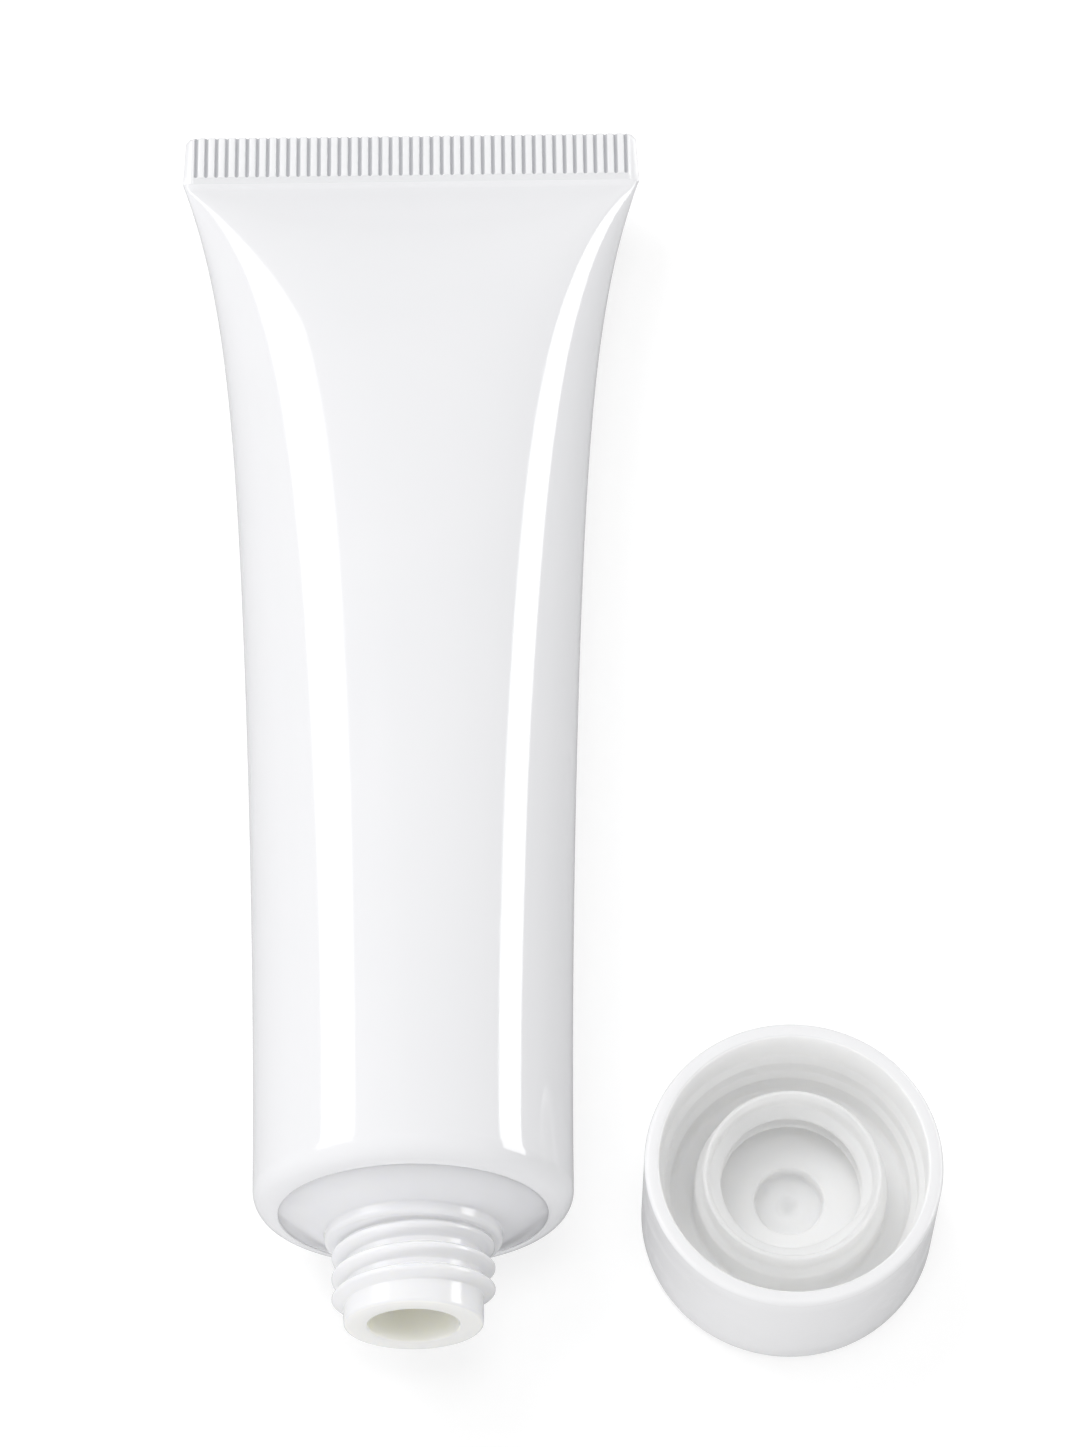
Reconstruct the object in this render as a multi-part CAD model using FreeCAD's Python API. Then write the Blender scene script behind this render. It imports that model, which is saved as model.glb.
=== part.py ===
"""Cosmetic squeeze tube with its screw cap taken off, in millimetres, +Z up.

The tube lies on its back as an empty one comes to rest, with its mouth towards -Y. Its cap stands beside the
mouth on its closed end. The origin is on the floor, under the middle of the whole part. Each piece is modelled
along the Z axis first, the tube from its shoulder at zero up to its seal, and then put in its place.
"""
import FreeCAD
import Part
import math
import os

from FreeCAD import Vector

# Sleeve: a thin extruded tube, pressed flat and welded at its far end.
TUBE_DIAMETER = 30.0
SLEEVE_WALL = 0.5
SLEEVE_LENGTH = 112.0           # from the shoulder to the seal's lower edge
FLARE_SHARE = 0.55              # part of the widening that is spread along the whole sleeve
FLARE_POWER = 1.65              # how that part grows with length
END_POWER = 8.0                 # how the rest grows, close to the seal
SECTION_COUNT = 22
SECTION_POWER = 1.7             # how much closer the sections lie towards the seal
FACE_ANGLE = 53.13              # half the angle of each wide arc where the section is still round
SIDE_SHARE = 0.65               # least radius of the flattened sides, as a share of the half depth there
HOLLOW_END = 0.1                # half depth of the hollow where the weld closes it
WELD_TOLERANCE = 0.001          # how closely the roll's round edge matches the body's
ROUND_STEPS = 3                 # bevels that make up each rounded corner

# Seal: grooves pressed into both faces, each groove behind a rib of the other face.
SEAL_HEIGHT = 5.9
SEAL_PLAIN_BAND = 0.85          # smooth band under the ribs
SEAL_CORNER = 0.5
SEAL_TAPER = 0.25               # how much each side draws in towards the far edge
SEAL_SPREAD = 0.1               # how far the weld spreads past the folded film, sideways and down
RIB_COUNT = 43
RIB_MARGIN = 0.45               # flat strip beside the ribs
GROOVE_DEPTH = 0.2
GROOVE_WIDTH = 0.62             # at the face
GROOVE_BOTTOM = 0.22

# Sleeve's near end, rolled in over the head.
ROLL_RADIUS = 2.4

# Head: shoulder, collar and threaded neck in one moulding.
HEAD_WALL = 1.2
HEAD_RIM = 2.5                  # length of the head's rim inside the sleeve
HEAD_RIM_DRAFT = 0.05           # how much narrower the rim's far edge is, in radius
LIP_STEP = 0.12                 # how far the head's cone lies under the sleeve's lip
SHOULDER_SLOPE = 24.0           # degrees from square to the axis
NECK_RADIUS = 6.5               # at the root of the thread
NECK_LENGTH = 8.0
COLLAR_STEP = 1.8               # how far the collar stands out from the neck
COLLAR_LENGTH = 1.1
COLLAR_BEVEL = 0.4
ORIFICE_RADIUS = 4.25
MOUTH_BEVEL = 0.5
ORIFICE_BEVEL = 0.25

# Screw thread: one start, right-handed, coarse and rounded.
THREAD_PITCH = 2.1
THREAD_HEIGHT = 1.0
THREAD_BULGE = 0.1              # how far the crest's middle stands out
THREAD_BASE = 1.5               # width of the neck's ridge at the wall
THREAD_CREST = 0.7              # width of the neck's ridge under its crest
THREAD_SINK = 0.3               # how deep a ridge is rooted in its wall
THREAD_DROP = 0.3               # from the collar's face to the ridge, where the ridge leaves the collar
THREAD_LEAD = 100.0             # degrees that the ridge runs on behind that place
THREAD_SWEEP = 950.0            # degrees of ridge below that place
THREAD_FADE = 50.0              # degrees over which a ridge fades out
THREAD_END = 0.2                # share of its size that a ridge still has at its ends
THREAD_STEP = 22.5              # degrees between two sections of a ridge

# Cap: skirt, closed end and threaded socket in one moulding.
CAP_DIAMETER = 28.0
CAP_HEIGHT = 16.5
CAP_WALL = 1.4                  # skirt at its rim
CAP_END = 1.6                   # least thickness of the closed end
CAP_EDGE_ROUND = 1.4
CAP_RIM_BEVEL = 0.25
SKIRT_STEP = 0.6                # each sloping ledge inside the skirt
SKIRT_STEP_DEPTHS = (4.8, 7.2)  # the ledges' upper edges, below the rim
SKIRT_DEPTH = 10.9              # floor round the socket, below the rim
SOCKET_RECESS = 3.3             # socket's rim, below the skirt's rim
SOCKET_WALL = 0.7
SOCKET_FOOT = 0.7               # how much thicker the socket's lower part is
SOCKET_FOOT_DEPTH = 2.5         # where it steps out, below its rim
SOCKET_RIM_BEVEL = 0.25
LEAD_IN_DEPTH = 0.7
LEAD_IN_WIDTH = 0.35
THREAD_CLEARANCE = 0.15         # between the neck's thread and the socket's, across and along
RIM_CLEARANCE = 0.15            # between the closed cap's rim and the sleeve's lip
SOCKET_THREAD_SWEEP = 810.0
WELL_RADIUS = 3.3               # recess in the socket's floor
WELL_SHARE = 0.45               # how far it goes down towards the least thickness
DIMPLE_RADIUS = 1.2
DIMPLE_DEPTH = 0.6

# Where the cap stands: from the tube's axis, and from the mouth's plane towards the seal.
CAP_ACROSS = 35.6
CAP_ALONG = 15.4

tube_radius = TUBE_DIAMETER / 2
seal_width = math.pi * TUBE_DIAMETER / 2
seal_thickness = 2 * SLEEVE_WALL
hollow_radius = tube_radius - SLEEVE_WALL
lip_radius = tube_radius - ROLL_RADIUS
roll_floor = SLEEVE_WALL - ROLL_RADIUS
shoulder_rise = math.tan(math.radians(SHOULDER_SLOPE))
cone_edge = -ROLL_RADIUS + LIP_STEP
collar_radius = NECK_RADIUS + COLLAR_STEP
collar_top = cone_edge - (lip_radius - collar_radius) * shoulder_rise
collar_face = collar_top - COLLAR_LENGTH
mouth = collar_face - NECK_LENGTH
thread_flank = (THREAD_BASE - THREAD_CREST) / THREAD_HEIGHT
socket_radius = NECK_RADIUS + THREAD_HEIGHT + THREAD_BULGE + THREAD_CLEARANCE


def quarter_round(start, end, corner):
    """Points along a quarter of a circle from start to end, whose tangents there meet at corner."""
    points = []
    for step in range(ROUND_STEPS + 1):
        angle = math.pi / 2 * step / ROUND_STEPS
        points.append(tuple(
            first + last - sharp + (sharp - last) * math.cos(angle) + (sharp - first) * math.sin(angle)
            for first, last, sharp in zip(start, end, corner)))
    return points


def turned(outline):
    """The solid that a closed outline of (radius, height) points sweeps about the Z axis."""
    corners = [Vector(radius, 0, height) for radius, height in outline + outline[:1]]
    return Part.Face(Part.makePolygon(corners)).revolve(Vector(0, 0, 0), Vector(0, 0, 1), 360)


def half_width(height):
    """Half the sleeve's width at a height above the shoulder."""
    share = height / SLEEVE_LENGTH
    growth = FLARE_SHARE * share ** FLARE_POWER + (1 - FLARE_SHARE) * share ** END_POWER
    return tube_radius + (seal_width / 2 - tube_radius) * growth


def oval_arcs(width, depth):
    """Radii of a four-centre oval's side and face arcs, and half the angle that a face arc spans."""
    if width - depth < 1e-6:
        return width, width, math.radians(FACE_ANGLE)
    side = depth * max(depth / width, SIDE_SHARE)
    face = ((width - side) ** 2 + depth ** 2 - side ** 2) / 2 / (depth - side)
    return side, face, math.atan2(width - side, face - depth)


def girth(width, depth):
    side, face, angle = oval_arcs(width, depth)
    return 4 * (face * angle + side * (math.pi / 2 - angle))


def half_depth(height):
    """Half the sleeve's depth there: the film doesn't stretch, so its girth stays that of the round tube."""
    width = half_width(height)
    low = seal_thickness / 2
    high = min(width, tube_radius)
    for _ in range(50):
        middle = (low + high) / 2
        if girth(width, middle) < 2 * math.pi * tube_radius:
            low = middle
        else:
            high = middle
    return (low + high) / 2


def oval_wire(width, depth, height):
    """One section of the sleeve, as four arcs."""
    side, face, angle = oval_arcs(width, depth)
    edges = []
    for across in (1, -1):
        face_middle = Vector(0, across * depth, height)
        face_centre = Vector(0, across * (depth - face), height)
        side_middle = Vector(across * width, 0, height)
        reach = Vector(face * math.sin(angle), across * face * math.cos(angle), 0)
        first = face_centre + Vector(across * reach.x, reach.y, 0)
        last = face_centre + Vector(-across * reach.x, reach.y, 0)
        below = Vector(first.x, -first.y, height)
        edges.append(Part.Arc(below, side_middle, first).toShape())
        edges.append(Part.Arc(first, face_middle, last).toShape())
    return Part.Wire(edges)


def sleeve_form(inset):
    """The sleeve's outer form, or its hollow when inset by the wall. Sections close up towards the seal."""
    wires = []
    for step in range(SECTION_COUNT):
        share = 1 - (1 - step / (SECTION_COUNT - 1)) ** SECTION_POWER
        width = half_width(share * SLEEVE_LENGTH) - inset
        depth = max(half_depth(share * SLEEVE_LENGTH) - inset, HOLLOW_END)
        wires.append(oval_wire(width, depth, share * (SLEEVE_LENGTH - inset)))
    return Part.makeLoft(wires, True, True)


def groove(across, face):
    """A cutter for one groove of the seal, with sloping sides and lower end, on the face at -1 or +1."""
    rise = (GROOVE_WIDTH - GROOVE_BOTTOM) / 2
    # The cutter starts as far outside the face as its bottom lies inside, and its sides keep their slope.
    wide = GROOVE_WIDTH / 2 + rise
    slim = GROOVE_BOTTOM / 2
    top = 2 * SEAL_HEIGHT
    cutter = Part.makeWedge(-wide, -GROOVE_DEPTH, -rise, rise, -slim, wide, GROOVE_DEPTH, top, top, slim)
    if face > 0:
        cutter.rotate(Vector(0, 0, 0), Vector(0, 0, 1), 180)
    cutter.translate(Vector(across, face * seal_thickness / 2, SLEEVE_LENGTH + SEAL_PLAIN_BAND))
    return cutter


def make_seal():
    """The flat welded end, with its corners cut off and its faces ribbed."""
    side = seal_width / 2 + SEAL_SPREAD
    top = SLEEVE_LENGTH + SEAL_HEIGHT
    right = [
        (side, SLEEVE_LENGTH - SEAL_SPREAD),
        (side - SEAL_TAPER, top - SEAL_CORNER),
        (side - SEAL_TAPER - SEAL_CORNER, top)]
    left = [(-across, height) for across, height in reversed(right)]
    corners = [Vector(across, -seal_thickness / 2, height) for across, height in right + left + right[:1]]
    slab = Part.Face(Part.makePolygon(corners)).extrude(Vector(0, seal_thickness, 0))
    pitch = (seal_width - 2 * SEAL_TAPER - 2 * RIB_MARGIN) / RIB_COUNT
    middle = (RIB_COUNT - 1) / 2
    front = [groove((number - middle) * pitch, -1) for number in range(RIB_COUNT)]
    back = [groove((number - middle + 0.5) * pitch, 1) for number in range(RIB_COUNT - 1)]
    return slab.cut(front + back)


def make_sleeve():
    """Body, rolled near end and seal."""
    body = sleeve_form(0).cut(sleeve_form(SLEEVE_WALL))
    outside = quarter_round((tube_radius, 0), (lip_radius, -ROLL_RADIUS), (tube_radius, -ROLL_RADIUS))
    inside = quarter_round((hollow_radius, 0), (lip_radius, roll_floor), (hollow_radius, roll_floor))
    roll = turned(outside + inside[::-1])
    return body.fuse([roll, make_seal()], WELD_TOLERANCE).removeSplitter().Solids[0]


def thread_ridge(wall_radius, outward, base, crest, start_angle, sweep, top):
    """A ridge that winds down a wall, right-handed, and fades out at both ends.

    It stands out of the wall with outward 1 and into a bore with -1. top is its middle's height at start_angle.
    """
    flank = (base - crest) / 2 / THREAD_HEIGHT
    wires = []
    count = round(sweep / THREAD_STEP)
    for step in range(count + 1):
        travel = sweep * step / count
        nearest_end = min(travel, sweep - travel)
        share = THREAD_END + (1 - THREAD_END) * min(1.0, nearest_end / THREAD_FADE)
        rise = (THREAD_HEIGHT + THREAD_SINK) * share
        low = wall_radius - outward * THREAD_SINK
        high = low + outward * rise
        half_base = (base / 2 + flank * THREAD_SINK) * math.sqrt(share)
        half_crest = crest / 2 * share
        middle = top - THREAD_PITCH * travel / 360
        turn = FreeCAD.Rotation(Vector(0, 0, 1), start_angle - travel)
        tip = high + outward * THREAD_BULGE * share
        places = [(low, -half_base), (high, -half_crest), (tip, 0), (high, half_crest), (low, half_base),
                  (low, -half_base)]
        wires.append(Part.makePolygon([turn.multVec(Vector(radius, 0, middle + height)) for radius, height in places]))
    return Part.makeLoft(wires, True, True)


def make_head():
    """Shoulder welded under the sleeve's rolled end, collar, neck with its bore, and thread."""
    inner_rim = hollow_radius - HEAD_WALL
    inner_edge = cone_edge + HEAD_WALL / math.cos(math.radians(SHOULDER_SLOPE))
    outline = [
        (inner_rim, HEAD_RIM),
        (hollow_radius - HEAD_RIM_DRAFT, HEAD_RIM),
        *quarter_round((hollow_radius, 0), (lip_radius, roll_floor), (hollow_radius, roll_floor)),
        (lip_radius, cone_edge),
        (collar_radius, collar_top),
        (collar_radius, collar_face + COLLAR_BEVEL),
        (collar_radius - COLLAR_BEVEL, collar_face),
        (NECK_RADIUS, collar_face),
        (NECK_RADIUS, mouth + MOUTH_BEVEL),
        (NECK_RADIUS - MOUTH_BEVEL, mouth),
        (ORIFICE_RADIUS + ORIFICE_BEVEL, mouth),
        (ORIFICE_RADIUS, mouth + ORIFICE_BEVEL),
        (ORIFICE_RADIUS, inner_edge - (lip_radius - ORIFICE_RADIUS) * shoulder_rise),
        (inner_rim, inner_edge - (lip_radius - inner_rim) * shoulder_rise)]
    top = collar_face - THREAD_DROP + THREAD_PITCH * THREAD_LEAD / 360
    thread = thread_ridge(NECK_RADIUS, 1, THREAD_BASE, THREAD_CREST, THREAD_LEAD, THREAD_LEAD + THREAD_SWEEP, top)
    return turned(outline).fuse(thread).removeSplitter().Solids[0]


def make_cap():
    """Skirt with two ledges inside, closed end, and the threaded socket in the middle, rim up."""
    outer = CAP_DIAMETER / 2
    inner = outer - CAP_WALL
    narrow = inner - SKIRT_STEP * len(SKIRT_STEP_DEPTHS)
    socket_top = CAP_HEIGHT - SOCKET_RECESS
    socket_outer = socket_radius + SOCKET_WALL
    foot = socket_outer + SOCKET_FOOT
    step_out = socket_top - SOCKET_FOOT_DEPTH
    # The closed cap's rim stops short of the lip while the mouth seats on the socket's floor.
    floor = CAP_HEIGHT - (-ROLL_RADIUS - RIM_CLEARANCE - mouth)
    well = floor - WELL_SHARE * (floor - CAP_END)
    skirt_floor = CAP_HEIGHT - SKIRT_DEPTH
    skirt = [(inner, CAP_HEIGHT - CAP_RIM_BEVEL)]
    for number, depth in enumerate(SKIRT_STEP_DEPTHS):
        skirt.append((inner - SKIRT_STEP * number, CAP_HEIGHT - depth))
        skirt.append((inner - SKIRT_STEP * (number + 1), CAP_HEIGHT - depth - SKIRT_STEP))
    outline = [
        (0, 0),
        *quarter_round((outer - CAP_EDGE_ROUND, 0), (outer, CAP_EDGE_ROUND), (outer, 0)),
        (outer, CAP_HEIGHT - CAP_RIM_BEVEL),
        (outer - CAP_RIM_BEVEL, CAP_HEIGHT),
        (inner + CAP_RIM_BEVEL, CAP_HEIGHT),
        *skirt,
        (narrow, skirt_floor),
        (foot, skirt_floor),
        (foot, step_out - SOCKET_FOOT),
        (socket_outer, step_out),
        (socket_outer, socket_top - SOCKET_RIM_BEVEL),
        (socket_outer - SOCKET_RIM_BEVEL, socket_top),
        (socket_radius + LEAD_IN_WIDTH, socket_top),
        (socket_radius, socket_top - LEAD_IN_DEPTH),
        (socket_radius, floor),
        (WELL_RADIUS, floor),
        (WELL_RADIUS, well),
        (DIMPLE_RADIUS, well),
        (0, well - DIMPLE_DEPTH)]
    # The ridge fills the neck's groove, less the clearance on each flank.
    wide = THREAD_PITCH - THREAD_BASE + thread_flank * (socket_radius - NECK_RADIUS) - 2 * THREAD_CLEARANCE
    slim = wide - thread_flank * THREAD_HEIGHT
    top = socket_top - LEAD_IN_DEPTH - wide / 2
    thread = thread_ridge(socket_radius, -1, wide, slim, 0, SOCKET_THREAD_SWEEP, top)
    return turned(outline).fuse(thread).removeSplitter().Solids[0]


def resting_place(balance):
    """Where the sleeve's underside meets the floor, and its tilt there in radians.

    The place is where a line square to the underside passes through the balance point on the axis.
    """
    def slope(height):
        return (half_depth(height + 1) - half_depth(height - 1)) / 2

    low = 5.0
    high = SLEEVE_LENGTH * 0.8
    for _ in range(30):
        middle = (low + high) / 2
        if middle + half_depth(middle) * slope(middle) < balance:
            low = middle
        else:
            high = middle
    return low, math.atan(-slope(low))


def lay_down(shape, place, tilt):
    """Turn a shape from the Z axis onto its back and set the place on the underside on the floor."""
    laid = shape.copy()
    laid.rotate(Vector(0, 0, 0), Vector(1, 0, 0), -90 - math.degrees(tilt))
    laid.translate(Vector(0, 0, half_depth(place) * math.cos(tilt) + place * math.sin(tilt)))
    return laid


def main():
    sleeve = make_sleeve()
    head = make_head()
    cap = make_cap()
    weight = sleeve.Volume + head.Volume
    balance = (sleeve.Volume * sleeve.CenterOfMass.z + head.Volume * head.CenterOfMass.z) / weight
    place, tilt = resting_place(balance)
    sleeve = lay_down(sleeve, place, tilt)
    head = lay_down(head, place, tilt)
    cap.translate(Vector(CAP_ACROSS, mouth * math.cos(tilt) + CAP_ALONG, 0))
    pieces = {"sleeve": sleeve, "head": head, "cap": cap}
    box = Part.makeCompound(list(pieces.values())).optimalBoundingBox(False, False)
    print("tilt", round(math.degrees(tilt), 3), "touches at", round(place, 2), "balance", round(balance, 2))
    os.makedirs("parts", exist_ok=True)
    for name, shape in pieces.items():
        shape.translate(Vector(-box.Center.x, -box.Center.y, 0))
        print(name, shape.ShapeType, shape.isValid(), len(shape.Solids), round(shape.Volume, 1))
        shape.exportStep("parts/" + name + ".step")


main()
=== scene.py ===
"""Looks of a white cosmetic squeeze tube and its screw cap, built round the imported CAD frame. Metres, +Z up."""

import math

import bmesh
import bpy
from mathutils import Matrix, Vector


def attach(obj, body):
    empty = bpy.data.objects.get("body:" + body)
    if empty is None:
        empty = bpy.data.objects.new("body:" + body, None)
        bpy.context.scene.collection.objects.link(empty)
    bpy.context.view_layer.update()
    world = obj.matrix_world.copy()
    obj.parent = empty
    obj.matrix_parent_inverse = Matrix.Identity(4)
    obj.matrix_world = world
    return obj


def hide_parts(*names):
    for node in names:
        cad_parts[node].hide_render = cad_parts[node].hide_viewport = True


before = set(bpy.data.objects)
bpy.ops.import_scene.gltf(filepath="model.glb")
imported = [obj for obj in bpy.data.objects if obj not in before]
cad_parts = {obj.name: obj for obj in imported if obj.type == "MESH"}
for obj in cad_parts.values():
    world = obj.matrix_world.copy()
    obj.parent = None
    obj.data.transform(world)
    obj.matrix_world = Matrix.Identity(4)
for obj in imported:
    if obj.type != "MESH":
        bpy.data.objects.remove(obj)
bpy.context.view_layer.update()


# ---------------------------------------------------------------------------------------------------------------
# Sleeve: one extruded film of glossy white plastic, half a millimetre thick. It is round at the shoulder, where it
# is rolled in and welded over the head. Ribbed hot jaws press it flat and weld it at the far end, so its girth is
# the same all the way.
# ---------------------------------------------------------------------------------------------------------------
MM = 0.001
TUBE_RADIUS = 15.0
FILM = 0.5
SLEEVE_LENGTH = 112.0
ROLL = 2.4                      # radius of the end that is rolled in over the head
LIP_RADIUS = TUBE_RADIUS - ROLL
FLAT_HALF_WIDTH = math.pi * TUBE_RADIUS / 2
FLARE_SHARE = 0.55              # part of the widening that is spread along the whole body
FLARE_POWER = 1.65
END_POWER = 8                   # how the rest of it grows, close to the seal
WELD_START = 0.9                # share of the body's length from which its two faces stay a film's thickness apart
HOLLOW_END = 0.1                # half depth of the hollow where the weld closes it
RIBS = 43
# Each rib and its groove, from rib top to rib top: how far across, and how deep there.
RIB_FORM = ((0, 0), (0.13, 0.02), (0.22, 0.08), (0.29, 0.2), (0.345, 0.45), (0.41, 0.88),
            (0.5, 1), (0.59, 0.88), (0.655, 0.45), (0.71, 0.2), (0.78, 0.08), (0.87, 0.02))
RIB_COLUMNS = len(RIB_FORM)
SIDE_COLUMNS = 2
QUARTER = RIBS * RIB_COLUMNS // 2 + SIDE_COLUMNS        # seal columns from the middle of a face to a side
COLUMN_STEP = 4                                         # seal columns to each column of the body
RING = 4 * QUARTER // COLUMN_STEP
TILT = math.radians(2.1429)
SHOULDER = Vector((-12.969, -52.1634, 15.6847))
LYING = Matrix.Translation(SHOULDER * MM) @ Matrix.Rotation(-math.pi / 2 - TILT, 4, "X") @ Matrix.Scale(MM, 4)


def half_width(height):
    """Half the body's width at a height above the shoulder."""
    share = height / SLEEVE_LENGTH
    growth = FLARE_SHARE * share ** FLARE_POWER + (1 - FLARE_SHARE) * share ** END_POWER
    return TUBE_RADIUS + (FLAT_HALF_WIDTH - TUBE_RADIUS) * growth


def bent_film(tightness):
    """A quarter of the film's section, from its side to the middle of a face, at equal steps along the film.

    The film bends most at the side. Tightness 0 is round, and a large one is a sharp fold between flat faces.
    """
    bends = [math.exp(tightness * (math.cos(math.pi * (step + 0.5) / QUARTER) - 1)) for step in range(QUARTER)]
    whole = sum(bends)
    stride = FLAT_HALF_WIDTH / QUARTER
    angle = 0
    places = [(0.0, 0.0)]
    for bend in bends:
        turn = math.pi / 2 * bend / whole
        across, up = places[-1]
        places.append((across - stride * math.sin(angle + turn / 2), up + stride * math.cos(angle + turn / 2)))
        angle += turn
    return places


def body_section(height):
    """The film's quarter section whose width is the body's at that height, as (across, out) for each column."""
    width = half_width(height)
    looser, tighter = 0.0, 300.0
    halvings = 26
    for _ in range(halvings):
        middle = (looser + tighter) / 2
        if -bent_film(middle)[-1][0] < width:
            looser = middle
        else:
            tighter = middle
    places = bent_film(looser)
    slack = width + places[-1][0]
    welded = max(0, height / SLEEVE_LENGTH - WELD_START) / (1 - WELD_START)
    section = []
    for number, (across, out) in enumerate(places):
        edge = min(1, number / SIDE_COLUMNS)
        section.append((across + width - slack * number / QUARTER, math.hypot(out, FILM * edge * welded ** 2)))
    return section[::-1]


sleeve_mesh = bmesh.new()
column_of = sleeve_mesh.verts.layers.float.new("column")
across_of = sleeve_mesh.verts.layers.float.new("across")
face_of = sleeve_mesh.verts.layers.float.new("face")
pressed_of = sleeve_mesh.verts.layers.float.new("pressed")
# This layer holds painted shade: grey painted into the seal's grooves and, faintly, onto its plain side strips.
groove_shade_of = sleeve_mesh.verts.layers.float.new("painted_groove_shade")
first_ring = bmesh.ops.create_circle(sleeve_mesh, segments=RING, radius=1)["verts"]
for point in first_ring:
    number = round(math.atan2(point.co.y, point.co.x) / (2 * math.pi) * RING)
    from_side = min(abs(number), RING // 2 - abs(number))
    point[column_of] = QUARTER - COLUMN_STEP * from_side
    point[across_of] = 1 if abs(number) < RING // 4 else -1
    point[face_of] = 0 if from_side == 0 else math.copysign(1, number)


def next_ring(mesh, edges):
    """Draw a ring of edges on, and give its new points and edges."""
    grown = bmesh.ops.extrude_edge_only(mesh, edges=edges)["geom"]
    points = [part for part in grown if isinstance(part, bmesh.types.BMVert)]
    fresh = set(points)
    return points, [part for part in grown if isinstance(part, bmesh.types.BMEdge) and set(part.verts) <= fresh]


def set_section(points, section, inset, height):
    """Put a ring of points on a section of the body, drawn in by the film's thickness if need be."""
    wide = 1 - inset / section[-1][0]
    deep = 1 - min(inset, section[0][1] - HOLLOW_END) / section[0][1]
    for point in points:
        across, out = section[round(point[column_of])]
        point.co = Vector((point[across_of] * across * wide, point[face_of] * out * deep, height))


def set_round(points, radius, height):
    """Put a ring of points on a circle."""
    section = body_section(0)
    for point in points:
        across, out = section[round(point[column_of])]
        place = Vector((point[across_of] * across, point[face_of] * out, 0)).normalized() * radius
        point.co = place + Vector((0, 0, height))


# The film's inside, from the weld back to the shoulder and round the roll to the lip. The spacing says how much
# closer the rings lie towards the weld.
INSIDE_RINGS = 28
INSIDE_SPACING = 1.8
INSIDE_ROLL_RINGS = 8
edges = sleeve_mesh.edges[:]
end_edges = edges
points = first_ring
for step in range(INSIDE_RINGS + 1):
    share = 1 - (step / INSIDE_RINGS) ** INSIDE_SPACING
    if step:
        points, edges = next_ring(sleeve_mesh, edges)
    set_section(points, body_section(share * SLEEVE_LENGTH), FILM, share * (SLEEVE_LENGTH - FILM))
for step in range(1, INSIDE_ROLL_RINGS + 1):
    angle = math.pi / 2 * step / INSIDE_ROLL_RINGS
    points, edges = next_ring(sleeve_mesh, edges)
    set_round(points, LIP_RADIUS + (ROLL - FILM) * math.cos(angle), -(ROLL - FILM) * math.sin(angle))

# The lip's small rounding and the roll over the head.
LIP_ROUNDING = 0.1
ROLL_RINGS = 16
for out, up in ((0, 1), (0.3, 0.3), (1, 0)):
    points, edges = next_ring(sleeve_mesh, edges)
    set_round(points, LIP_RADIUS + out * LIP_ROUNDING, up * LIP_ROUNDING - ROLL)
for step in range(ROLL_RINGS - 1, -1, -1):
    angle = math.pi / 2 * step / ROLL_RINGS
    points, edges = next_ring(sleeve_mesh, edges)
    set_round(points, LIP_RADIUS + ROLL * math.cos(angle), -ROLL * math.sin(angle))

# The body, with its rings closer together towards the seal.
BODY_RINGS = 100
BODY_SPACING = 1.7
for step in range(1, BODY_RINGS + 1):
    share = 1 - (1 - step / BODY_RINGS) ** BODY_SPACING
    points, edges = next_ring(sleeve_mesh, edges)
    set_section(points, body_section(share * SLEEVE_LENGTH), 0, share * SLEEVE_LENGTH)

# The seal starts from the last ring, divided finely enough for the ribs.
SEAL_HEIGHT = 5.9
SEAL_SPREAD = 0.1               # how far the weld spreads past the folded film
SEAL_TAPER = 0.25               # how much each side draws in towards the far edge
SEAL_CORNER = 0.5
SEAL_CORNER_CUT = 0.8           # how far each far corner is cut, for each millimetre of height
SEAL_SIDE_STEP = 0.05
SEAL_SIDE_DROP = 0.16
SEAL_EDGE_START = 5.6           # height from which the far edge is rounded
SEAL_EDGE_THINNING = 0.3
PLAIN_COLUMNS = 3               # smooth columns beside the ribs
BAND_HEIGHT = 0.85              # smooth band under the ribs
BAND_STEP = 0.09                # how far the band lies below the ribs
RIB_MARGIN = 0.45
RIB_RUN_IN = 0.16
RIB_END_GAP = 0.3
CROWDED_WIDTH = 3.0             # outer stretch of a face where the taper pushes the ribs together
GROOVE_DEPTH = 0.38
GROOVE_GAP = 0.04               # from the band to the groove's start
GROOVE_RUN_IN = 0.26
# Painted shade in the seal: a groove is painted darker from this distance from the middle of the weld, over the range
# below, and the plain side strips get a faint painted shade.
GROOVE_SHADE_LEVEL = 0.49               # distance from the middle of the weld at which a groove begins to look darker
GROOVE_SHADE_RANGE = 0.37
SIDE_PAINTED_SHADE = 0.1
bmesh.ops.subdivide_edges(sleeve_mesh, edges=edges, cuts=COLUMN_STEP - 1)
edges = [edge for edge in sleeve_mesh.edges
         if all(abs(point.co.z - SLEEVE_LENGTH) < 1e-5 for point in edge.verts)]
rib_pitch = (2 * FLAT_HALF_WIDTH - 2 * SEAL_TAPER - 2 * RIB_MARGIN) / RIBS
ribbed_width = RIBS * rib_pitch / 2


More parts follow.
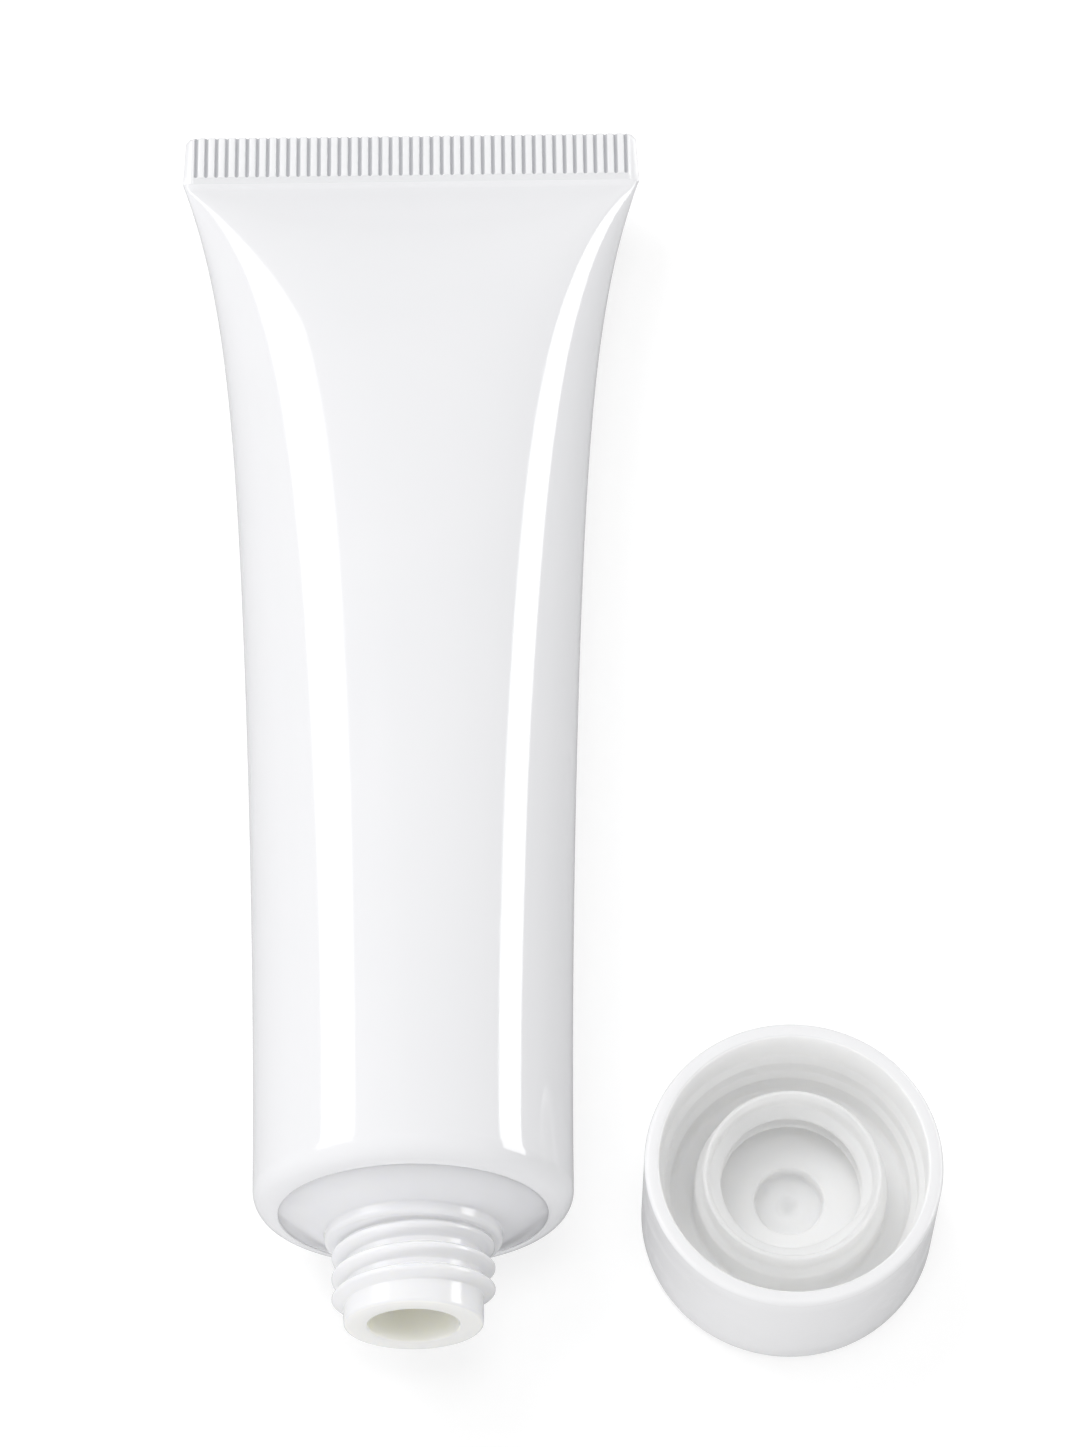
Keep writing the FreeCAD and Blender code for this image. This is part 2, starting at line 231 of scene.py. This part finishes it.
def seal_place(column, face, height):
    """Where a column of the seal lies: across, and how far in front of or behind the middle."""
    side = FLAT_HALF_WIDTH + SEAL_SPREAD - SEAL_TAPER * min(1, height / (SEAL_HEIGHT - SEAL_CORNER))
    side -= max(0, height - (SEAL_HEIGHT - SEAL_CORNER)) * SEAL_CORNER_CUT
    rib_start = min(1, max(0, height - BAND_HEIGHT) / RIB_RUN_IN)
    groove_start = min(1, max(0, height - BAND_HEIGHT - GROOVE_GAP) / GROOVE_RUN_IN)
    level = FILM - BAND_STEP * (1 - rib_start)
    size = abs(column)
    if size > QUARTER - SIDE_COLUMNS:
        if size == QUARTER:
            return math.copysign(side, column), 0
        return math.copysign(side - SEAL_SIDE_STEP, column), face * (level - SEAL_SIDE_DROP)
    shift = 1 if face > 0 else 0
    number = column + (RIBS + shift) * RIB_COLUMNS // 2
    place, deep = RIB_FORM[number % RIB_COLUMNS]
    across = (number // RIB_COLUMNS + place - 0.5 * shift) * rib_pitch - ribbed_width
    if size > QUARTER - SIDE_COLUMNS - PLAIN_COLUMNS:
        deep = 0
        level -= BAND_STEP * rib_start
    room = side - RIB_END_GAP
    inner = ribbed_width - CROWDED_WIDTH
    if abs(across) > inner and room < ribbed_width:
        across = math.copysign(inner + (abs(across) - inner) * (room - inner) / (ribbed_width - inner), across)
    return across, face * (level - GROOVE_DEPTH * deep * groove_start)


# Heights of the seal's rows of points, closest together where the ribs start and at the far edge.
seal_rows = [0.1, 0.3, 0.55, 0.78, BAND_HEIGHT, 0.9, 0.95, 1.01, 1.08, 1.16, 1.3, 1.8, 2.4, 3.0, 3.6, 4.2, 4.8, 5.3,
             5.45, SEAL_EDGE_START, 5.72, 5.81, 5.87, SEAL_HEIGHT]
for height in seal_rows:
    points, edges = next_ring(sleeve_mesh, edges)
    rounding = max(0, height - SEAL_EDGE_START) / (SEAL_HEIGHT - SEAL_EDGE_START)
    for point in points:
        column = round(point[column_of]) * (1 if point.co.x > 0 else -1)
        across, out = seal_place(column, point[face_of], height)
        thinning = 1 - SEAL_EDGE_THINNING * rounding ** 3
        point.co = Vector((across, out * thinning, SLEEVE_LENGTH + height))
        point[pressed_of] = 1
        # Painted shade: the deeper a groove, the darker it is painted. The plain side strips get a little.
        if point[column_of] < QUARTER - SIDE_COLUMNS - PLAIN_COLUMNS:
            point[groove_shade_of] = min(1, max(0, (GROOVE_SHADE_LEVEL - abs(out)) / GROOVE_SHADE_RANGE))
        else:
            point[groove_shade_of] = SIDE_PAINTED_SHADE
bmesh.ops.holes_fill(sleeve_mesh, edges=edges, sides=0)
bmesh.ops.holes_fill(sleeve_mesh, edges=end_edges, sides=0)
bmesh.ops.triangulate(sleeve_mesh, faces=[face for face in sleeve_mesh.faces if len(face.verts) > 8])
bmesh.ops.transform(sleeve_mesh, matrix=LYING, verts=sleeve_mesh.verts)
bmesh.ops.recalc_face_normals(sleeve_mesh, faces=sleeve_mesh.faces)


def make_piece(mesh, name, material, node):
    """Turn a finished mesh into a smooth piece that stands for a CAD node."""
    for face in mesh.faces:
        face.smooth = True
    open_edges = sum(1 for edge in mesh.edges if not edge.is_manifold)
    print(name, "triangles", sum(len(face.verts) - 2 for face in mesh.faces), "open edges", open_edges)
    data = bpy.data.meshes.new(name)
    mesh.to_mesh(data)
    mesh.free()
    data.materials.append(material)
    piece = bpy.data.objects.new(name, data)
    bpy.context.scene.collection.objects.link(piece)
    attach(piece, "root")
    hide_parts(node)


def add_node(tree, kind, **settings):
    """Add a shader node and set its sockets and options by name."""
    node = tree.nodes.new(kind)
    for name, value in settings.items():
        socket = node.inputs.get(name.replace("_", " "))
        if socket is not None:
            socket.default_value = value
        else:
            setattr(node, name, value)
    return node


# The skin of a white plastic: a fine grain, a broad unevenness of tone, and faint marks from handling.
plastic_skin = bpy.data.node_groups.new("plastic_skin", "ShaderNodeTree")
plastic_skin.interface.new_socket("Coordinates", in_out="INPUT", socket_type="NodeSocketVector")
plastic_skin.interface.new_socket("Grain Scale", in_out="INPUT", socket_type="NodeSocketFloat")
plastic_skin.interface.new_socket("Mottle Scale", in_out="INPUT", socket_type="NodeSocketFloat")
plastic_skin.interface.new_socket("Grain", in_out="OUTPUT", socket_type="NodeSocketFloat")
plastic_skin.interface.new_socket("Mottle", in_out="OUTPUT", socket_type="NodeSocketFloat")
plastic_skin.interface.new_socket("Handling", in_out="OUTPUT", socket_type="NodeSocketFloat")
skin_in = plastic_skin.nodes.new("NodeGroupInput")
skin_out = plastic_skin.nodes.new("NodeGroupOutput")
grain = add_node(plastic_skin, "ShaderNodeTexNoise", Detail=3.0, Roughness=0.6)
mottle = add_node(plastic_skin, "ShaderNodeTexNoise", Detail=4.0, Roughness=0.5, Distortion=0.6)
marks = add_node(plastic_skin, "ShaderNodeTexNoise", Scale=140.0, Detail=5.0, Roughness=0.65, Distortion=1.2)
mark_range = add_node(plastic_skin, "ShaderNodeMapRange", From_Min=0.5, From_Max=0.72)
for texture in (grain, mottle, marks):
    plastic_skin.links.new(skin_in.outputs["Coordinates"], texture.inputs["Vector"])
plastic_skin.links.new(skin_in.outputs["Grain Scale"], grain.inputs["Scale"])
plastic_skin.links.new(skin_in.outputs["Mottle Scale"], mottle.inputs["Scale"])
plastic_skin.links.new(grain.outputs["Fac"], skin_out.inputs["Grain"])
plastic_skin.links.new(mottle.outputs["Fac"], skin_out.inputs["Mottle"])
plastic_skin.links.new(marks.outputs["Fac"], mark_range.inputs["Value"])
plastic_skin.links.new(mark_range.outputs["Result"], skin_out.inputs["Handling"])


def start_material(name, grain_scale, mottle_scale):
    """A material whose plastic skin is ready to be joined to its shader."""
    material = bpy.data.materials.new(name)
    material.use_nodes = True
    tree = material.node_tree
    coordinates = add_node(tree, "ShaderNodeTexCoord")
    skin = add_node(tree, "ShaderNodeGroup", node_tree=plastic_skin)
    skin.inputs["Grain Scale"].default_value = grain_scale
    skin.inputs["Mottle Scale"].default_value = mottle_scale
    tree.links.new(coordinates.outputs["Object"], skin.inputs["Coordinates"])
    return material, tree, coordinates, skin, tree.nodes["Principled BSDF"]


def mix_colours(tree, factor, first, second):
    """Mix two colours by a socket, and give the mixed colour's socket."""
    mix = tree.nodes.new("ShaderNodeMix")
    mix.data_type = "RGBA"
    share_in, first_in, second_in = mix.inputs[0], mix.inputs[6], mix.inputs[7]
    for socket, value in ((first_in, first), (second_in, second)):
        if isinstance(value, tuple):
            socket.default_value = value
        else:
            tree.links.new(value, socket)
    tree.links.new(factor, share_in)
    return mix.outputs[2]


def scale_to(tree, source, low, high):
    """Carry a 0 to 1 socket to the range from low to high."""
    spread = add_node(tree, "ShaderNodeMapRange", To_Min=low, To_Max=high)
    tree.links.new(source, spread.inputs["Value"])
    return spread.outputs["Result"]


def add_up(tree, first, second):
    """Add two sockets."""
    plus = add_node(tree, "ShaderNodeMath", operation="ADD")
    tree.links.new(first, plus.inputs[0])
    tree.links.new(second, plus.inputs[1])
    return plus.outputs["Value"]


def join_bump(tree, shader, height, distance, strength):
    """Give a shader its fine relief from a height socket. The distance is in metres."""
    bump = add_node(tree, "ShaderNodeBump", Distance=distance, Strength=strength)
    tree.links.new(height, bump.inputs["Height"])
    tree.links.new(bump.outputs["Normal"], shader.inputs["Normal"])


# Gloss film: its mirror-like skin waves a little along the tube, and turns duller where the hot jaws pressed it.
# The seal's grooves are painted a darker grey the deeper they are: painted shade standing in for the shade that falls
# in them.
gloss_film, tree, coordinates, skin, shader = start_material("gloss_film", 2200.0, 45.0)
waves = add_node(tree, "ShaderNodeTexNoise", Scale=70.0, Detail=1.0)
stretch = add_node(tree, "ShaderNodeMapping", Scale=(1.0, 0.35, 1.0))
tree.links.new(coordinates.outputs["Object"], stretch.inputs["Vector"])
tree.links.new(stretch.outputs["Vector"], waves.inputs["Vector"])
pressed = add_node(tree, "ShaderNodeAttribute", attribute_name="pressed")
film_white = mix_colours(tree, skin.outputs["Mottle"], (0.87, 0.87, 0.885, 1), (0.84, 0.843, 0.86, 1))
painted_groove_shade = add_node(tree, "ShaderNodeAttribute", attribute_name="painted_groove_shade")
pressed_white = mix_colours(tree, pressed.outputs["Fac"], film_white, (0.9, 0.903, 0.915, 1))
# Painted shade: the grooves and side strips are mixed towards grey.
film_colour = mix_colours(tree, painted_groove_shade.outputs["Fac"], pressed_white, (0.47, 0.475, 0.5, 1))
tree.links.new(film_colour, shader.inputs["Base Color"])
film_roughness = add_up(tree, scale_to(tree, skin.outputs["Handling"], 0.07, 0.11),
                        scale_to(tree, pressed.outputs["Fac"], 0.0, 0.1))
tree.links.new(film_roughness, shader.inputs["Roughness"])
film_relief = add_up(tree, scale_to(tree, skin.outputs["Grain"], 0.0, 0.012), waves.outputs["Fac"])
join_bump(tree, shader, film_relief, 0.00012, 0.6)
shader.inputs["IOR"].default_value = 1.5
make_piece(sleeve_mesh, "tube_sleeve", gloss_film, "sleeve")


# ---------------------------------------------------------------------------------------------------------------
# Head: one injection moulding of firm white plastic, with the shoulder, the collar and the open neck. Its rim is
# welded inside the sleeve's rolled end. The coarse, rounded thread on the neck takes the cap.
# ---------------------------------------------------------------------------------------------------------------
ROUND_STEPS = 192
HEAD_RIM = 2.5                  # length of the rim inside the sleeve
HEAD_RIM_INSIDE = 13.3
CONE_EDGE = -2.3                # where the cone comes out under the lip
COLLAR_RADIUS = 8.3
COLLAR_TOP = -4.1945
COLLAR_FACE = -5.2945
COLLAR_FILLET = 1.15
NECK_RADIUS = 6.5               # at the root of the thread
NECK_WALL_CUTS = 219
MOUTH = -13.2945
MOUTH_ROUNDING = 0.38
BORE_RADIUS = 4.25
BORE_TOP = -4.684
BORE_TOP_ROUNDING = 0.5
BORE_ROUNDING = 0.22
# Painted light: the mouth's face is painted this share of the bore's lighter ivory colour, for the light that falls on
# it.
MOUTH_PAINTED_LIGHT = 0.4                # how ivory the mouth's face is, against 1 in the bore
THREAD_PITCH = 2.1
THREAD_HEIGHT = 1.1
THREAD_FADE = 55.0              # degrees over which the ridge fades out
FADED_WIDTH = 0.55              # width of the ridge at its very ends, as a share of the full one
NECK_THREAD_START = 100.0
NECK_THREAD_SWEEP = 1050.0
NECK_THREAD_TOP = -5.0112
NECK_THREAD_HALF_BASE = 0.85


def draw_outline(corners):
    """A flat outline in the XZ plane from (radius, height, rounding) corners, each corner bevelled to its rounding."""
    mesh = bmesh.new()
    points = [mesh.verts.new((radius, 0, height)) for radius, height, _ in corners]
    mesh.faces.new(points)
    for point, (_, _, rounding) in zip(points, corners):
        if rounding:
            bmesh.ops.bevel(mesh, geom=[point], offset=rounding, offset_type="OFFSET", affect="VERTICES",
                            segments=6, profile=0.5, material=-1)
    bmesh.ops.delete(mesh, geom=mesh.faces[:], context="FACES_ONLY")
    return mesh


def divide_edge(mesh, radius, low, high, cuts):
    """Cut the straight stretch of an outline that lies at a radius between two heights."""
    stretch = [edge for edge in mesh.edges
               if all(abs(end.co.x - radius) < 1e-4 and low - 1e-4 <= end.co.z <= high + 1e-4 for end in edge.verts)
               and edge.calc_length() > (high - low) / 2]
    bmesh.ops.subdivide_edges(mesh, edges=stretch, cuts=cuts)


def turn_round(mesh, steps):
    """Spin an outline about the Z axis into a closed skin that faces outwards."""
    bmesh.ops.spin(mesh, geom=mesh.verts[:] + mesh.edges[:], cent=(0, 0, 0), axis=(0, 0, 1), dvec=(0, 0, 0),
                   angle=2 * math.pi, steps=steps, use_merge=True, use_normal_flip=False, use_duplicate=False)
    bmesh.ops.remove_doubles(mesh, verts=mesh.verts, dist=1e-5)
    bmesh.ops.recalc_face_normals(mesh, faces=mesh.faces)


def thread_rise(point, start, sweep, top, half_base):
    """How far a rounded ridge stands out at a point of its wall. It winds down to the right as a screw's does."""
    angle = math.degrees(math.atan2(point.y, point.x))
    rise = 0
    for turn in range(-1, 5):
        travel = start - angle + 360 * turn
        if not 0 <= travel <= sweep:
            continue
        share = min(1, min(travel, sweep - travel) / THREAD_FADE)
        share = share * share * (3 - 2 * share)
        half_width_here = half_base * (FADED_WIDTH + (1 - FADED_WIDTH) * share)
        off = abs(point.z - (top - THREAD_PITCH * travel / 360)) / half_width_here
        if off < 1:
            rise = max(rise, share * (0.5 + 0.5 * math.cos(math.pi * off ** 1.25)))
    return rise * THREAD_HEIGHT


# The rim and the wall that lies under the rolled film, the cone and collar, the neck and mouth, and the inside.
head_mesh = draw_outline([
    (HEAD_RIM_INSIDE, HEAD_RIM, 0), (14.45, HEAD_RIM, 0.2), (TUBE_RADIUS - FILM, 0, 0), (14.36, -0.73, 0),
    (13.94, -1.34, 0), (13.33, -1.76, 0), (LIP_RADIUS, FILM - ROLL, 0),
    (LIP_RADIUS, CONE_EDGE, 0), (COLLAR_RADIUS, COLLAR_TOP, 0.18), (COLLAR_RADIUS, COLLAR_FACE, 0.42),
    (NECK_RADIUS, COLLAR_FACE, COLLAR_FILLET), (NECK_RADIUS, MOUTH, MOUTH_ROUNDING),
    (BORE_RADIUS, MOUTH, BORE_ROUNDING), (BORE_RADIUS, BORE_TOP, BORE_TOP_ROUNDING), (HEAD_RIM_INSIDE, -0.654, 0.6)])
divide_edge(head_mesh, NECK_RADIUS, MOUTH + MOUTH_ROUNDING, COLLAR_FACE - COLLAR_FILLET, NECK_WALL_CUTS)
divide_edge(head_mesh, BORE_RADIUS, MOUTH + BORE_ROUNDING, BORE_TOP - BORE_TOP_ROUNDING, 6)
turn_round(head_mesh, ROUND_STEPS)
# This layer marks the bore, painted a lighter ivory that is partly its own tint and partly painted light. It also
# marks the mouth's face, which gets a share of it as painted light.
ivory_light_of = head_mesh.verts.layers.float.new("bore_ivory_and_light")
for point in head_mesh.verts:
    radius = math.hypot(point.co.x, point.co.y)
    if NECK_RADIUS - 0.01 < radius < COLLAR_RADIUS - 0.5 and MOUTH + 0.5 < point.co.z < COLLAR_FACE + 0.01:
        rise = thread_rise(point.co, NECK_THREAD_START, NECK_THREAD_SWEEP, NECK_THREAD_TOP, NECK_THREAD_HALF_BASE)
        point.co.xy *= max(radius, NECK_RADIUS + rise) / radius
    if point.co.z < COLLAR_TOP and radius < BORE_RADIUS + 0.1:
        point[ivory_light_of] = 1
    elif point.co.z < MOUTH + 0.1:
        point[ivory_light_of] = MOUTH_PAINTED_LIGHT
bmesh.ops.transform(head_mesh, matrix=LYING, verts=head_mesh.verts)

# Moulded head: light goes a little way into it, and the mould's turning marks ring its cone. Its bore is painted a
# lighter ivory, partly the plastic's own tint and partly painted light for light shining through the wall, and its
# mouth's face is painted lighter as painted light.
moulded_head, tree, coordinates, skin, shader = start_material("moulded_head", 3200.0, 110.0)
bore_ivory_and_light = add_node(tree, "ShaderNodeAttribute", attribute_name="bore_ivory_and_light")
along = add_node(tree, "ShaderNodeSeparateXYZ")
tree.links.new(coordinates.outputs["Object"], along.inputs["Vector"])
rings = add_node(tree, "ShaderNodeTexNoise", noise_dimensions="1D", Scale=1.0, Detail=2.0)
closeness = add_node(tree, "ShaderNodeMath", operation="MULTIPLY")
closeness.inputs[1].default_value = 5200.0
tree.links.new(along.outputs["Y"], closeness.inputs[0])
tree.links.new(closeness.outputs["Value"], rings.inputs["W"])
head_white = mix_colours(tree, skin.outputs["Mottle"], (0.875, 0.875, 0.888, 1), (0.845, 0.847, 0.858, 1))
# Painted light: the bore and, in part, the mouth's face are mixed towards a lighter ivory than the rest of the head.
head_colour = mix_colours(tree, bore_ivory_and_light.outputs["Fac"], head_white, (0.97, 0.955, 0.86, 1))
tree.links.new(head_colour, shader.inputs["Base Color"])
tree.links.new(scale_to(tree, skin.outputs["Handling"], 0.14, 0.2), shader.inputs["Roughness"])
tree.links.new(scale_to(tree, bore_ivory_and_light.outputs["Fac"], 0.4, 1.0), shader.inputs["Subsurface Weight"])
shader.inputs["Subsurface Radius"].default_value = (1.0, 0.97, 0.8)
shader.inputs["Subsurface Scale"].default_value = 0.0035
head_relief = add_up(tree, scale_to(tree, skin.outputs["Grain"], 0.0, 0.5),
                     scale_to(tree, rings.outputs["Fac"], 0.0, 0.5))
join_bump(tree, shader, head_relief, 0.000006, 0.8)
make_piece(head_mesh, "tube_head", moulded_head, "head")


# ---------------------------------------------------------------------------------------------------------------
# Cap: one injection moulding of satin white plastic, off the tube and stood on its closed end. Two sloping ledges
# line its skirt, and the threaded socket that takes the neck stands in its middle.
# ---------------------------------------------------------------------------------------------------------------
CAP_CENTRE = Vector((22.631, -50.0485, 0))
CAP_RADIUS = 14.0
CAP_HEIGHT = 16.5
CAP_EDGE_ROUNDING = 1.4
CAP_RIM_ROUNDING = 0.5
SKIRT_INSIDE = (12.6, 12.0, 11.4)           # radii above, between and below the two ledges
SKIRT_LEDGES = (11.7, 9.3)                  # heights of the ledges' upper edges
SKIRT_LEDGE = 0.6                           # how far each ledge comes in and goes down
SKIRT_FLOOR = 5.6
SOCKET_FOOT = 9.15
SOCKET_FOOT_TOP = 10.0
SOCKET_OUTSIDE = 8.45
SOCKET_RADIUS = 7.75
SOCKET_RIM = 13.2
SOCKET_LEAD_IN = 8.1
SOCKET_LEAD_IN_END = 12.5
SOCKET_FLOOR = 5.7555
SOCKET_WALL_CUTS = 79
WELL_RADIUS = 3.3
WELL_FLOOR = 3.886
DIMPLE_RADIUS = 1.2
DIMPLE_BOTTOM = 3.286
SOCKET_THREAD_SWEEP = 810.0
SOCKET_THREAD_TOP = 11.85
SOCKET_THREAD_HALF_BASE = 0.8

# From the middle of the closed end round the outside, down past the ledges, over the socket and into its well.
cap_mesh = draw_outline([
    (0, 0, 0), (12.2, 0, 0), (CAP_RADIUS, 0, CAP_EDGE_ROUNDING), (CAP_RADIUS, CAP_HEIGHT, CAP_RIM_ROUNDING),
    (SKIRT_INSIDE[0], CAP_HEIGHT, 0.3), (SKIRT_INSIDE[0], SKIRT_LEDGES[0], 0.15),
    (SKIRT_INSIDE[1], SKIRT_LEDGES[0] - SKIRT_LEDGE, 0.12), (SKIRT_INSIDE[1], SKIRT_LEDGES[1], 0.15),
    (SKIRT_INSIDE[2], SKIRT_LEDGES[1] - SKIRT_LEDGE, 0.12), (SKIRT_INSIDE[2], SKIRT_FLOOR, 0.5),
    (SOCKET_FOOT, SKIRT_FLOOR, 0.4), (SOCKET_FOOT, SOCKET_FOOT_TOP, 0.3),
    (SOCKET_OUTSIDE, SOCKET_FOOT_TOP + SOCKET_FOOT - SOCKET_OUTSIDE, 0.3), (SOCKET_OUTSIDE, SOCKET_RIM, 0.22),
    (SOCKET_LEAD_IN, SOCKET_RIM, 0.12), (SOCKET_RADIUS, SOCKET_LEAD_IN_END, 0.25),
    (SOCKET_RADIUS, SOCKET_FLOOR, 0.3), (WELL_RADIUS, SOCKET_FLOOR, 0.18), (WELL_RADIUS, WELL_FLOOR, 0.3),
    (DIMPLE_RADIUS, WELL_FLOOR, 0.15), (0, DIMPLE_BOTTOM, 0)])
divide_edge(cap_mesh, SOCKET_RADIUS, SOCKET_FLOOR + 0.3, SOCKET_LEAD_IN_END - 0.25, SOCKET_WALL_CUTS)
divide_edge(cap_mesh, CAP_RADIUS, CAP_EDGE_ROUNDING, CAP_HEIGHT - CAP_RIM_ROUNDING, 6)
bmesh.ops.delete(cap_mesh, geom=[edge for edge in cap_mesh.edges if all(end.co.x < 1e-6 for end in edge.verts)],
                 context="EDGES")
turn_round(cap_mesh, ROUND_STEPS)
inside_of = cap_mesh.verts.layers.float.new("inside")
for point in cap_mesh.verts:
    radius = math.hypot(point.co.x, point.co.y)
    if abs(radius - SOCKET_RADIUS) < 0.01 and SOCKET_FLOOR < point.co.z < SOCKET_LEAD_IN_END - 0.1:
        rise = thread_rise(point.co, 0, SOCKET_THREAD_SWEEP, SOCKET_THREAD_TOP, SOCKET_THREAD_HALF_BASE)
        point.co.xy *= 1 - rise / SOCKET_RADIUS
    if radius < SKIRT_INSIDE[0] + 0.1 and point.co.z > 1:
        point[inside_of] = 1
bmesh.ops.transform(cap_mesh, matrix=Matrix.Scale(MM, 4) @ Matrix.Translation(CAP_CENTRE), verts=cap_mesh.verts)

# Satin cap: finely blasted outside, smoother inside, where the core was polished, and slightly translucent.
satin_cap, tree, _, skin, shader = start_material("satin_cap", 2600.0, 90.0)
inside = add_node(tree, "ShaderNodeAttribute", attribute_name="inside")
cap_white = mix_colours(tree, skin.outputs["Mottle"], (0.89, 0.89, 0.9, 1), (0.86, 0.86, 0.87, 1))
# Painted light: the inside is painted whiter than the outside, lifting the shade in the cap's hollow.
cap_colour = mix_colours(tree, inside.outputs["Fac"], cap_white, (0.97, 0.97, 0.965, 1))
tree.links.new(cap_colour, shader.inputs["Base Color"])
cap_roughness = add_up(tree, scale_to(tree, skin.outputs["Handling"], 0.2, 0.28),
                       scale_to(tree, inside.outputs["Fac"], 0.0, 0.22))
tree.links.new(cap_roughness, shader.inputs["Roughness"])
tree.links.new(scale_to(tree, inside.outputs["Fac"], 0.0, 0.9), shader.inputs["Subsurface Weight"])
shader.inputs["Subsurface Radius"].default_value = (1.0, 0.98, 0.94)
shader.inputs["Subsurface Scale"].default_value = 0.006
join_bump(tree, shader, skin.outputs["Grain"], 0.000008, 0.7)
make_piece(cap_mesh, "screw_cap", satin_cap, "cap")


# ---------------------------------------------------------------------------------------------------------------
# Studio: a white paper floor under an even sky. Two long softboxes draw the highlights along the tube, four more
# light it from behind, above, in front and the right, and a long lens looks down on it from the mouth's end.
# ---------------------------------------------------------------------------------------------------------------
FLOOR_HALF_SIZE = 3.0
floor_mesh = bmesh.new()
bmesh.ops.create_grid(floor_mesh, x_segments=1, y_segments=1, size=FLOOR_HALF_SIZE)
floor_data = bpy.data.meshes.new("floor")
floor_mesh.to_mesh(floor_data)
floor_mesh.free()
floor = bpy.data.objects.new("floor", floor_data)
bpy.context.scene.collection.objects.link(floor)

# The paper shows whiter to the camera than to the pieces, which take only a soft grey from it into their gloss.
white_floor = bpy.data.materials.new("white_floor")
white_floor.use_nodes = True
tree = white_floor.node_tree
shader = tree.nodes["Principled BSDF"]
shader.inputs["Roughness"].default_value = 0.9
shader.inputs["Specular IOR Level"].default_value = 0.0
shader.inputs["Emission Color"].default_value = (1, 1, 1, 1)
path = tree.nodes.new("ShaderNodeLightPath")
in_gloss = mix_colours(tree, path.outputs["Is Glossy Ray"], (0.92, 0.92, 0.92, 1), (0.55, 0.55, 0.56, 1))
floor_colour = mix_colours(tree, path.outputs["Is Camera Ray"], in_gloss, (0.42, 0.42, 0.42, 1))
tree.links.new(floor_colour, shader.inputs["Base Color"])
tree.links.new(scale_to(tree, path.outputs["Is Camera Ray"], 0.0, 0.66), shader.inputs["Emission Strength"])
floor.data.materials.append(white_floor)

world = bpy.data.worlds.new("studio")
bpy.context.scene.world = world
world.use_nodes = True
world.node_tree.nodes["Background"].inputs["Color"].default_value = (1, 1, 1, 1)
world.node_tree.nodes["Background"].inputs["Strength"].default_value = 0.52


def softbox(name, place, target, width, height, power, in_gloss, in_matt):
    """An area lamp that faces a target, and may be left out of gloss or of matt light."""
    data = bpy.data.lights.new(name, "AREA")
    data.shape = "RECTANGLE"
    data.size = width
    data.size_y = height
    data.energy = power
    lamp = bpy.data.objects.new(name, data)
    bpy.context.scene.collection.objects.link(lamp)
    lamp.location = place
    lamp.rotation_euler = (Vector(target) - Vector(place)).to_track_quat("-Z", "Y").to_euler()
    lamp.visible_glossy = in_gloss
    lamp.visible_diffuse = in_matt


softbox("left_box", (-0.45, 0.325, 0.36), (0, 0.325, 0.36), 0.85, 0.33, 2.3, True, False)
softbox("right_box", (0.50, 0.25, 0.155), (0, 0.25, 0.155), 0.75, 0.19, 2.3, True, False)
softbox("back_box", (-0.4, 0.42, 0.98), (0, 0, 0), 0.5, 0.5, 4.7, False, True)
softbox("top_box", (0.02, -0.05, 1.0), (0.02, -0.05, 0), 0.3, 0.3, 1.8, False, True)
softbox("front_box", (-0.42, -0.8, 0.18), (0, -0.05, 0.02), 0.45, 0.3, 2.0, False, True)
softbox("right_fill", (0.8, 0.05, 0.12), (0, 0, 0.02), 0.4, 0.2, 0.7, False, True)

# The camera looks down from the mouth's end, a little from the left.
LENS = 124.30939
ELEVATION = math.radians(64.85)
LEAN = math.radians(0.8)
AIM = Vector((-0.00031, -0.01278, 0.03418))
DISTANCE = 0.467
camera_data = bpy.data.cameras.new("camera")
camera_data.lens = LENS
camera = bpy.data.objects.new("camera", camera_data)
bpy.context.scene.collection.objects.link(camera)
look = Vector((math.sin(LEAN) * math.cos(ELEVATION), math.cos(LEAN) * math.cos(ELEVATION), -math.sin(ELEVATION)))
camera.location = AIM - look * DISTANCE
camera.rotation_euler = look.to_track_quat("-Z", "Y").to_euler()
bpy.context.scene.camera = camera
bpy.context.scene.view_settings.view_transform = "Standard"
